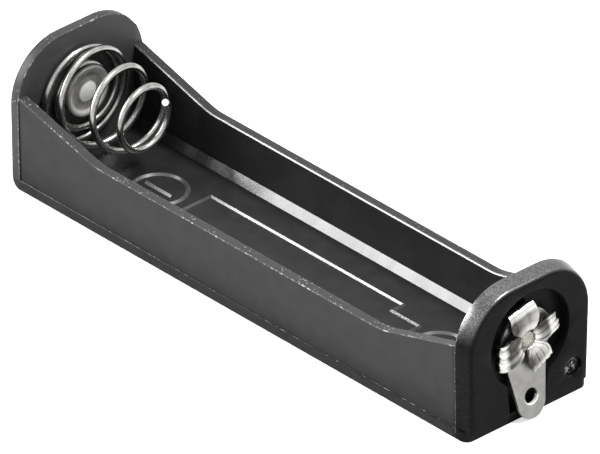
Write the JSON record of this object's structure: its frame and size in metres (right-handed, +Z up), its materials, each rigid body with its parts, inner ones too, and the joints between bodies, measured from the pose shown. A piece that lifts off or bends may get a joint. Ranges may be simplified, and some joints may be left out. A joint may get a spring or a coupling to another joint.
{
  "type": "cylindrical cell holder",
  "caption": "Open black tray that holds one small cylindrical cell between a conical spring and a riveted button contact, with a solder lug at each end.",
  "frame": {"origin": "middle of the flat underside of the tray's foot", "axes": "+X along the cell, from the spring to the button contact; +Y across the tray; +Z up, out of the open top"},
  "size_m": [0.0544, 0.0134, 0.0125],
  "materials": {
    "tray_plastic": "black moulded plastic, satin, lightly textured on the thick end's sloping rim",
    "spring_wire": "bright nickel plate",
    "rivet_metal": "bright nickel plate over brass, slightly warm",
    "lug_metal": "dull tin plate"
  },
  "bodies": {
    "holder": {"holder_body": "tray_plastic", "positive_rivet": "rivet_metal", "negative_rivet": "rivet_metal", "positive_solder_lug": "lug_metal", "negative_solder_lug": "lug_metal"},
    "spring": {"contact_spring": "spring_wire"}
  },
  "joints": [
    {"name": "spring_press", "type": "slide", "parent": "holder", "child": "spring", "axis": [-1, 0, 0], "range_m": [0, 0.0045], "stiffness_N_per_m": 1480, "deforming": ["contact_spring"]}
  ]
}
